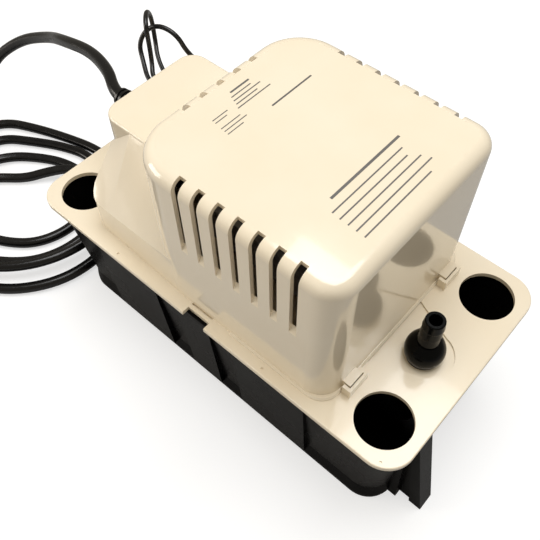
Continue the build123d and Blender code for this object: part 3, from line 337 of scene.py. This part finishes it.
@dataclass(frozen=True)
class StackedSteel:
    """The edge of a stack of steel sheets: fine level lines in dull grey."""

    name: str
    colour: Colour
    gap: Colour
    sheet: float = 0.0005

    def make(self) -> bpy.types.Material:
        """Build the material."""
        skin = Surface(self.name)
        height = skin.axis("Z")
        level = skin.node("ShaderNodeMath", {"operation": "FRACT"}, {0: height / self.sheet})["Value"]
        seam = level.span(0.75, 1.0)
        stain = skin.noise(160, 4).span(0.45, 0.7)
        base = skin.blend(seam * 0.8, skin.blend(stain * 0.4, self.colour, self.gap), self.gap)
        skin.set(Base_Color=base, Metallic=0.85, Roughness=0.42 + stain * 0.2,
                 Normal=skin.bump(1 - seam, 0.00005))
        return skin.material


@dataclass(frozen=True)
class WoundWire:
    """Enamelled wire laid turn by turn round the X and Z directions of a coil, with painted shade darkening
    each turn towards its neighbours.
    """

    name: str
    colour: Colour
    gap: Colour
    wire: float = 0.0004

    def make(self) -> bpy.types.Material:
        """Build the material."""
        skin = Surface(self.name)
        turn = skin.axis("Y") / self.wire + skin.noise(300, 2) * 0.8
        wave = skin.node("ShaderNodeMath", {"operation": "SINE"}, {0: turn * math.tau})["Value"]
        ridge = wave.span(-1, 1)
        stain = skin.noise(220, 3).span(0.4, 0.7)
        # Painted shade: each turn runs from the dark gap colour beside its neighbours to the copper on its
        # crest; stains also lean to the gap colour.
        base = skin.blend(ridge, self.gap, skin.blend(stain * 0.4, self.colour, self.gap))
        skin.set(Base_Color=base, Metallic=0.75, Roughness=0.34 + stain * 0.1,
                 Normal=skin.bump(ridge, 0.00012))
        return skin.material


BEIGE = linear(248, 236, 213)
BEIGE_SHADE = linear(245, 231, 205)


class Finish(Enum):
    """The finishes of the pump."""

    COVER = MouldedPlastic("cover_beige", BEIGE, BEIGE_SHADE, 0.12, 2500, 0.00001, 0.6)
    DECK = MouldedPlastic("deck_beige", BEIGE, BEIGE_SHADE, 0.16, 2500, 0.00001, 0.4)
    TANK = MouldedPlastic("tank_black", linear(12, 11, 11), linear(8, 7, 8), 0.27, 1500, 0.00003, gloss=0.04)
    VALVE = MouldedPlastic("valve_black", linear(4, 5, 5), linear(7, 8, 8), 0.2, 2200, 0.00002, gloss=0.1)
    PUMP = MouldedPlastic("pump_black", linear(42, 42, 44), linear(32, 32, 34), 0.5, 1200, 0.00006)
    FAN = MouldedPlastic("fan_black", linear(36, 36, 38), linear(28, 28, 30), 0.45)
    SWITCH = MouldedPlastic("switch_black", linear(30, 30, 33), linear(42, 42, 44), 0.42)
    BOBBIN = MouldedPlastic("bobbin_natural", linear(226, 220, 200), linear(212, 204, 180), 0.4)
    FLOAT = MouldedPlastic("float_white", linear(232, 231, 226), linear(220, 217, 208), 0.6, 900, 0.00012)
    CORD = Jacket("cord_jacket", linear(7, 7, 8), linear(58, 57, 56), 0.24)
    LEAD = Jacket("lead_insulation", linear(8, 8, 9), linear(56, 56, 56), 0.3)
    SEAL = Jacket("seal_rubber", linear(24, 24, 25), linear(70, 68, 66), 0.5)
    CORE = StackedSteel("core_sheets", linear(150, 151, 156), linear(74, 72, 72))
    # The second colour is painted shade between the turns of wire, and also the colour of the stains.
    WINDING = WoundWire("winding_wire", linear(196, 110, 62), linear(92, 42, 20))
    ZINC = Metal("zinc_plate", linear(196, 198, 202), linear(150, 148, 140), 0.34)
    STEEL = Metal("ground_steel", linear(202, 203, 206), linear(160, 158, 154), 0.2, (1, 1, 60))
    BRONZE = Metal("sintered_bronze", linear(176, 132, 82), linear(110, 82, 52), 0.5, (1, 1, 1), 600)
    ROTOR = Metal("cast_rotor", linear(170, 172, 176), linear(120, 118, 114), 0.42, (1, 1, 1), 300)
    NICKEL = Metal("nickel_plate", linear(212, 207, 196), linear(168, 160, 146), 0.18, (30, 30, 1))
    TINNED = Metal("tinned_wire", linear(205, 205, 200), linear(160, 156, 148), 0.3, (40, 40, 1), 900)
    INK = MouldedPlastic("print_ink", linear(96, 94, 92), linear(110, 108, 104), 0.5)


class Paintbox:
    """The finishes made so far, so that each is made once."""

    def __init__(self) -> None:
        """Start with none."""
        self.made: dict[Finish, bpy.types.Material] = {}

    def get(self, finish: Finish) -> bpy.types.Material:
        """The material of a finish."""
        if finish not in self.made:
            self.made[finish] = finish.value.make()
        return self.made[finish]

    def dress(self, piece: bpy.types.Object, finish: Finish) -> None:
        """Give a piece one finish.

        Args:
            piece: The object, a mesh or a curve.
            finish: Its finish.
        """
        slots = piece.data.materials
        if not slots:
            slots.append(self.get(finish))
        for index in range(len(slots)):
            slots[index] = self.get(finish)

    def dress_node(self, node: str, finish: Finish) -> None:
        """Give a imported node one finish."""
        self.dress(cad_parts[node], finish)


PAINT = Paintbox()


# ---------------------------------------------------------------- mesh helpers
CREASE = math.radians(35)


def new_piece(name: str, mesh: bmesh.types.BMesh, smooth: bool = True) -> bpy.types.Object:
    """Turn a bmesh into an object of the scene.

    Args:
        name: The object's name.
        mesh: The mesh, which is freed.
        smooth: Whether its faces are shaded smooth, with creases over CREASE kept.

    Returns:
        The new object.
    """
    data = bpy.data.meshes.new(name)
    mesh.normal_update()
    mesh.to_mesh(data)
    mesh.free()
    piece = bpy.data.objects.new(name, data)
    bpy.context.scene.collection.objects.link(piece)
    if smooth:
        data.shade_smooth()
        data.set_sharp_from_angle(angle=CREASE)
    return piece


def lathe(mesh: bmesh.types.BMesh, outline: Sequence[tuple[float, float]], place: Matrix,
          steps: int) -> None:
    """Add a closed turned body.

    Args:
        mesh: The mesh to add to.
        outline: Radius and height of each ring; the first and last rings are capped.
        place: Where the body's axis and base lie.
        steps: Faces round the body.
    """
    rings = []
    for radius, height in outline:
        ring = []
        for step in range(steps):
            angle = math.tau * step / steps
            spot = place @ Vector((radius * math.cos(angle), radius * math.sin(angle), height))
            ring.append(mesh.verts.new(spot))
        rings.append(ring)
    for low, high in zip(rings, rings[1:]):
        for step in range(steps):
            after = (step + 1) % steps
            mesh.faces.new((low[step], low[after], high[after], high[step]))
    mesh.faces.new(list(reversed(rings[0])))
    mesh.faces.new(rings[-1])


def facing(origin: Sequence[float], heading: Sequence[float]) -> Matrix:
    """A place at origin whose Z axis runs along heading."""
    turn = Vector(heading).to_track_quat("Z", "Y").to_matrix().to_4x4()
    return Matrix.Translation(Vector(origin)) @ turn


# ---------------------------------------------------------------- cords
@dataclass
class Cable:
    """A free cable along its control points, with a groove or a plain round jacket."""

    name: str
    points: list[Point]
    radius: float
    finish: Finish
    groove: float = 0.0
    groove_share: float = 0.1
    corners: int = 28

    def profile(self) -> bpy.types.Object:
        """The section of the jacket, round but for a shallow groove on two sides."""
        curve = bpy.data.curves.new(self.name + "_section", "CURVE")
        spline = curve.splines.new("POLY")
        spline.points.add(self.corners - 1)
        for index in range(self.corners):
            angle = math.tau * index / self.corners
            inside = max(0.0, abs(math.cos(angle)) - (1 - self.groove_share))
            dip = self.groove * inside / self.groove_share
            radius = self.radius - dip
            spline.points[index].co = (radius * math.cos(angle), radius * math.sin(angle), 0, 1)
        spline.use_cyclic_u = True
        return bpy.data.objects.new(self.name + "_section", curve)

    def make(self) -> bpy.types.Object:
        """Lay the cable as a smooth spline.

        Returns:
            The curve object, dressed.
        """
        curve = bpy.data.curves.new(self.name, "CURVE")
        curve.dimensions = "3D"
        curve.twist_mode = "MINIMUM"
        curve.resolution_u = 8
        curve.use_fill_caps = True
        spline = curve.splines.new("NURBS")
        spline.points.add(len(self.points) - 1)
        for control, point in zip(spline.points, self.points):
            control.co = (*point, 1.0)
        spline.order_u = 3
        spline.use_endpoint_u = True
        if self.groove:
            curve.bevel_mode = "OBJECT"
            curve.bevel_object = self.profile()
        else:
            curve.bevel_depth = self.radius
            curve.bevel_resolution = 4
        piece = bpy.data.objects.new(self.name, curve)
        bpy.context.scene.collection.objects.link(piece)
        PAINT.dress(piece, self.finish)
        return piece


@dataclass
class PowerCord:
    """The power cord: strain relief, a long arch, a loose pile on the floor, and the plug."""

    diameter: float = 7.0 * MM
    length: float = 1.83
    groove: float = 0.35 * MM
    relief_root: float = -83.4 * MM
    relief_ribs: int = 4
    relief_pitch: float = 3.2
    exit: Point = (-0.1035, -0.009, 0.133)
    arch: tuple[Point, ...] = (
        (-0.110, -0.008, 0.133), (-0.123, 0.0, 0.1335), (-0.1455, 0.0058, 0.132),
        (-0.1738, 0.0067, 0.1247), (-0.2027, 0.0133, 0.1101), (-0.2357, 0.0085, 0.0943),
        (-0.2618, -0.0056, 0.071), (-0.271, -0.018, 0.037), (-0.274, -0.040, 0.015))
    centre: tuple[float, float] = (-0.200, -0.044)
    # direction from the centre in degrees, distance and height in millimetres
    pile: tuple[tuple[float, float, float], ...] = (
        (200, 76, 3.8), (228, 76, 3.6), (256, 76, 3.6), (284, 77, 3.6), (312, 80, 3.6), (342, 81, 3.6),
        (12, 78, 3.6), (38, 78, 3.6), (64, 71, 3.6), (90, 66, 3.6), (114, 65, 3.6), (138, 74, 3.6),
        (156, 90, 3.6), (178, 94, 3.6), (198, 88, 8.5), (220, 78, 11.0), (244, 67, 7.5), (272, 60, 3.6),
        (300, 57, 3.6), (330, 58, 3.6), (0, 58, 3.6), (30, 58, 3.6), (60, 57, 3.6), (90, 58, 3.6),
        (116, 56, 3.6), (140, 60, 3.6), (160, 72, 3.6), (181, 73.5, 3.6), (206, 64, 3.6), (234, 52, 3.6),
        (264, 44, 3.6), (296, 40, 3.6), (330, 42, 3.6), (4, 44, 3.6), (36, 46, 3.6), (68, 46, 3.6),
        (100, 42, 3.6), (130, 42, 3.6), (160, 50, 3.6), (186, 56, 5.5), (208, 62, 10.6), (232, 68, 10.8),
        (256, 71, 10.8), (282, 69, 10.8), (310, 66, 10.8), (338, 66, 10.8), (6, 68, 10.8), (32, 66, 10.8),
        (58, 54, 10.8), (84, 38, 10.0), (112, 26, 6.5), (150, 22, 3.8), (182, 34, 3.8), (200, 50, 6.0),
        (212, 66, 10.8), (216, 80, 14.4))
    into_plug: tuple[Point, ...] = ((-0.277, -0.1015, 0.0185), (-0.291, -0.112, 0.0185))

    def points(self) -> list[Point]:
        """The control points from the strain relief to the plug."""
        laid = []
        for turn, distance, height in self.pile:
            angle = math.radians(turn)
            laid.append((self.centre[0] + distance * MM * math.cos(angle),
                         self.centre[1] + distance * MM * math.sin(angle), height * MM))
        return [self.exit, *self.arch, *laid, *self.into_plug]

    def relief(self) -> bpy.types.Object:
        """The ribbed, tapered strain relief that replaces the plain one."""
        mesh = bmesh.new()
        outline = [(6.0, 0.0), (6.0, 2.2), (7.0, 2.25), (7.3, 2.6), (7.3, 6.0), (6.9, 6.5)]
        for rib in range(self.relief_ribs):
            base, radius = 7.0 + rib * self.relief_pitch, 6.5 - rib * 0.42
            outline += [(radius - 0.9, base), (radius - 0.9, base + 0.8), (radius, base + 1.1),
                        (radius - 0.1, base + 2.6), (radius - 0.9, base + 2.9)]
        outline.append((4.2, 20.1))
        start = (self.relief_root, self.exit[1], self.exit[2])
        lathe(mesh, [(r * MM, h * MM) for r, h in outline], facing(start, (-1, 0, 0)), 40)
        collar = [(7.5, -2.0), (7.6, -1.8), (7.6, -0.2), (7.5, 0)]
        lathe(mesh, [(r * MM, h * MM) for r, h in collar], facing(start, (-1, 0, 0)), 40)
        return new_piece("strain_relief", mesh)

    def build(self) -> None:
        cable = Cable("power_cord_line", self.points(), self.diameter / 2, Finish.CORD, self.groove).make()
        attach(cable, "base")
        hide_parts("power_cord", "power_cord_coil")
        relief = self.relief()
        PAINT.dress(relief, Finish.CORD)
        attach(relief, "base")
        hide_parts("power_strain_relief")
        PAINT.dress_node("plug_body", Finish.CORD)
        PAINT.dress_node("plug_pins", Finish.NICKEL)


@dataclass
class SignalLeads:
    """The two thin leads of the safety switch, which end bare in a small coil behind the tank."""

    diameter: float = 2.6 * MM
    length: float = 0.70
    # each route starts at its lead's exit from the grommet
    first_route: tuple[Point, ...] = (
        (-0.0868, 0.0065, 0.135), (-0.097, 0.0065, 0.135), (-0.110, 0.0148, 0.139),
        (-0.115, 0.0178, 0.1452), (-0.113, 0.0229, 0.153), (-0.105, 0.0265, 0.1572),
        (-0.095, 0.0289, 0.1545), (-0.090, 0.0306, 0.144),
        (-0.0872, 0.043, 0.126), (-0.087, 0.053, 0.118), (-0.082, 0.063, 0.104), (-0.080, 0.071, 0.084),
        (-0.080, 0.076, 0.058), (-0.082, 0.081, 0.034), (-0.082, 0.086, 0.0145))
    second_route: tuple[Point, ...] = (
        (-0.0868, 0.0095, 0.135), (-0.097, 0.0095, 0.135), (-0.105, 0.0169, 0.139), (-0.1064, 0.0182, 0.1485),
        (-0.1085, 0.0197, 0.1601), (-0.1175, 0.0285, 0.1595), (-0.1215, 0.034, 0.1515),
        (-0.121, 0.0337, 0.1372),
        (-0.112, 0.0264, 0.131), (-0.098, 0.021, 0.127), (-0.0915, 0.031, 0.122), (-0.0876, 0.042, 0.117),
        (-0.087, 0.053, 0.110), (-0.086, 0.064, 0.098), (-0.086, 0.072, 0.082), (-0.086, 0.079, 0.058),
        (-0.086, 0.085, 0.034), (-0.084, 0.093, 0.0145))
    centre: tuple[float, float] = (-0.068, 0.091)
    steps: int = 12

    def turns(self, start: float, radius: float, low: float, high: float, count: float) -> list[Point]:
        """Control points of turns that climb or sink at one radius.

        Args:
            start: Where the turns start, in turns from +X.
            radius: Their radius in millimetres.
            low: The first height in millimetres.
            high: The last height in millimetres.
            count: How many turns.

        Returns:
            The points.
        """
        laid = []
        total = round(count * self.steps)
        for step in range(total + 1):
            angle = math.tau * (start + step / self.steps)
            height = low + (high - low) * step / total
            laid.append((self.centre[0] + radius * MM * math.cos(angle),
                         self.centre[1] + radius * MM * math.sin(angle), height * MM))
        return laid

    def tip(self, name: str, end: Point, before: Point) -> bpy.types.Object:
        """The tinned bare end of a lead, twisted from fine strands.

        Args:
            name: The piece's name.
            end: Where the insulation ends.
            before: A point on the lead just before its end.

        Returns:
            The piece, dressed.
        """
        mesh = bmesh.new()
        heading = Vector(end) - Vector(before)
        twist = [(0.76 + 0.07 * (step % 2), step * 0.5) for step in range(15)]
        outline = [(0.82, -0.6), *twist, (0.4, 7.4)]
        lathe(mesh, [(r * MM, h * MM) for r, h in outline], facing(end, heading), 14)
        piece = new_piece(name, mesh)
        PAINT.dress(piece, Finish.TINNED)
        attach(piece, "base")
        return piece

    def lay(self, name: str, route: Sequence[Point], coil: list[Point], solids: list[str]) -> None:
        """Args:
            name: The lead's name.
            route: Its control points from the grommet to the coil.
            coil: Its control points in the coil.
            solids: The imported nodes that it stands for.
        """
        points = [*route, *coil]
        cable = Cable(name, points, self.diameter / 2, Finish.LEAD).make()
        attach(cable, "base")
        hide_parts(*solids)
        tip = self.tip(name + "_tip", points[-1], points[-2])

    def build(self) -> None:
        """Lay both leads."""
        first = self.turns(0.62, 12.0, 1.4, 9.8, 3.0) + self.turns(0.70, 14.8, 9.8, 4.0, 2.2)
        second = self.turns(0.54, 17.6, 11.0, 1.4, 3.6)
        self.lay("lead_line_a", self.first_route, first, ["lead_a", "lead_coil"])
        self.lay("lead_line_b", self.second_route, second, ["lead_b"])
        PAINT.dress_node("lead_grommet", Finish.SEAL)


# ---------------------------------------------------------------- housing
@dataclass
class Housing:
    """The tank, the deck and the motor cover."""

    finishes: dict[str, Finish] = field(default_factory=lambda: {
        "tank": Finish.TANK, "deck": Finish.DECK, "motor_cover": Finish.COVER})

    def build(self) -> None:
        """Dress the three mouldings."""
        for node, finish in self.finishes.items():
            PAINT.dress_node(node, finish)


@dataclass
class PrintBars:
    """Plain printed bars on top of the cover, without any lettering."""

    height: float = 175.0 * MM
    thick: float = 0.05 * MM
    # each row: its place along X, its two ends along Y and its width, in millimetres
    rows: tuple[tuple[float, float, float, float], ...] = (
        (-25.2, -2.0, 10.2, 1.0), (-22.6, -4.0, 8.6, 0.6), (-20.2, -5.0, 12.4, 0.6),
        (-17.9, -5.8, 8.0, 0.6), (-15.6, -7.2, 14.2, 0.6), (-5.4, 4.0, 31.0, 0.9),
        (-18.4, -20.4, -11.0, 0.5), (-16.4, -20.6, -13.4, 0.5),
        (-12.2, -21.4, -9.4, 0.5), (-10.0, -21.6, -7.6, 0.5), (-7.8, -21.8, -12.0, 0.5),
        (47.6, -21.0, 25.6, 1.3), (52.6, -26.4, 20.8, 0.7), (56.8, -27.0, 18.6, 0.7),
        (61.0, -27.2, 22.4, 0.7), (65.2, -27.4, 24.2, 0.7), (69.4, -27.6, 17.6, 0.7))

    def build(self) -> None:
        """Lay the bars."""
        mesh = bmesh.new()
        for x, y0, y1, wide in self.rows:
            size = Matrix.Diagonal((wide * MM, (y1 - y0) * MM, self.thick, 1.0))
            spot = Matrix.Translation((x * MM, (y0 + y1) / 2 * MM, self.height + self.thick / 2))
            bmesh.ops.create_cube(mesh, size=1.0, matrix=spot @ size)
        piece = new_piece("print_bars", mesh, smooth=False)
        PAINT.dress(piece, Finish.INK)
        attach(piece, "cover")


@dataclass
class Works:
    """What is inside: the motor, the pump, the valve, the float and the switches."""

    finishes: dict[str, Finish] = field(default_factory=lambda: {
        "stator_core": Finish.CORE, "coil_bobbin": Finish.BOBBIN, "coil_winding": Finish.WINDING,
        "upper_bracket": Finish.ZINC, "lower_bracket": Finish.ZINC, "upper_bearing": Finish.BRONZE,
        "lower_bearing": Finish.BRONZE, "motor_screws": Finish.ZINC, "rotor": Finish.ROTOR,
        "motor_shaft": Finish.STEEL, "cooling_fan": Finish.FAN, "thermal_protector": Finish.SWITCH,
        "pump_column": Finish.PUMP, "volute_housing": Finish.PUMP, "volute_cover": Finish.PUMP,
        "volute_screws": Finish.STEEL, "impeller": Finish.PUMP, "discharge_riser": Finish.PUMP,
        "sealing_washer": Finish.SEAL, "valve_body": Finish.VALVE, "check_ball": Finish.STEEL,
        "barb_fitting": Finish.VALVE, "float_body": Finish.FLOAT, "float_arm": Finish.SWITCH,
        "float_pin": Finish.STEEL, "push_rod": Finish.FLOAT, "switch_bracket": Finish.ZINC,
        "run_switch": Finish.SWITCH, "safety_switch": Finish.SWITCH, "run_lever": Finish.STEEL,
        "safety_lever": Finish.STEEL, "internal_wires": Finish.LEAD})

    def build(self) -> None:
        """Dress the works."""
        for node, finish in self.finishes.items():
            PAINT.dress_node(node, finish)


# ---------------------------------------------------------------- studio
@dataclass
class Studio:
    """The floor, the lamps and the camera."""

    azimuth: float = 41.370
    elevation: float = 55.658
    roll: float = -0.149
    lens: float = 45.005
    shift: tuple[float, float] = (-0.01022, 0.00461)
    eye: Point = (0.14683, -0.16694, 0.3795)
    floor_half: float = 6.0
    floor_tone: float = 0.5
    floor_glow: float = 0.62
    surround: Colour = (1.0, 0.91, 0.76)
    surround_strength: float = 0.32

    def floor(self) -> None:
        """A wide pale floor that the camera sees as near white, under the shadow."""
        mesh = bmesh.new()
        bmesh.ops.create_grid(mesh, x_segments=1, y_segments=1, size=self.floor_half)
        piece = new_piece("studio_floor", mesh, smooth=False)
        skin = Surface("studio_floor")
        skin.set(Base_Color=(self.floor_tone,) * 3, Roughness=0.9, Specular_IOR_Level=0.1)
        glow = skin.node("ShaderNodeEmission", {}, {"Color": (1, 1, 1), "Strength": self.floor_glow})
        path = skin.node("ShaderNodeLightPath")
        seen = path["Is Camera Ray"]
        both = skin.node("ShaderNodeAddShader", {}, {0: skin.shader["BSDF"], 1: glow["Emission"]})
        mixed = skin.node("ShaderNodeMixShader", {}, {0: seen, 1: skin.shader["BSDF"], 2: both["Shader"]})
        skin.feed(skin.end.node.inputs["Surface"], mixed["Shader"])
        piece.data.materials.append(skin.material)

    def world(self) -> None:
        """An even pale surround."""
        world = bpy.data.worlds.new("studio_world")
        bpy.context.scene.world = world
        world.use_nodes = True
        back = world.node_tree.nodes["Background"]
        back.inputs["Color"].default_value = (*self.surround, 1.0)
        back.inputs["Strength"].default_value = self.surround_strength

    def lamp(self, name: str, place: Point, aim: Point, size: float, power: float, colour: Colour) -> None:
        """Add one soft lamp.

        Args:
            name: The lamp's name.
            place: Where it hangs.
            aim: The point that it faces.
            size: Its side.
            power: Its power in watts.
            colour: Its colour.
        """
        data = bpy.data.lights.new(name, "AREA")
        data.size = size
        data.energy = power
        data.color = colour
        lamp = bpy.data.objects.new(name, data)
        lamp.matrix_world = facing(place, Vector(place) - Vector(aim))
        bpy.context.scene.collection.objects.link(lamp)

    def camera(self) -> None:
        """The camera, from the front right and above."""
        turn, rise = math.radians(self.azimuth), math.radians(self.elevation)
        look = Vector((-math.sin(turn) * math.cos(rise), math.cos(turn) * math.cos(rise), -math.sin(rise)))
        right = look.cross(Vector((0, 0, 1))).normalized()
        up = right.cross(look)
        tilt = math.radians(self.roll)
        across = right * math.cos(tilt) + up * math.sin(tilt)
        over = up * math.cos(tilt) - right * math.sin(tilt)
        data = bpy.data.cameras.new("main_camera")
        data.lens = self.lens
        data.sensor_width = 36.0
        data.shift_x, data.shift_y = self.shift
        data.clip_start = 0.01
        camera = bpy.data.objects.new("main_camera", data)
        axes = Matrix((across, over, -look)).transposed().to_4x4()
        camera.matrix_world = Matrix.Translation(Vector(self.eye)) @ axes
        bpy.context.scene.collection.objects.link(camera)
        bpy.context.scene.camera = camera

    def build(self) -> None:
        """Set up the whole studio."""
        bpy.context.scene.view_settings.view_transform = "Standard"
        self.floor()
        self.world()
        middle = (0.0, 0.0, 0.08)
        self.lamp("key_lamp", (0.0, 0.16, 1.3), middle, 0.9, 12.6, (0.98, 0.99, 1.0))
        self.lamp("fill_lamp", (-1.0, -0.8, 0.45), middle, 0.6, 5.6, (1.0, 0.94, 0.86))
        self.camera()


def main() -> None:
    """Build every sub-assembly in order and report each."""
    logging.basicConfig(level=logging.INFO, format="%(message)s")
    for part in (Studio(), PowerCord(), SignalLeads(), Housing(), PrintBars(), Works()):
        part.build()
        LOG.info("built %s", type(part).__name__)


if __name__ == "__main__":
    main()
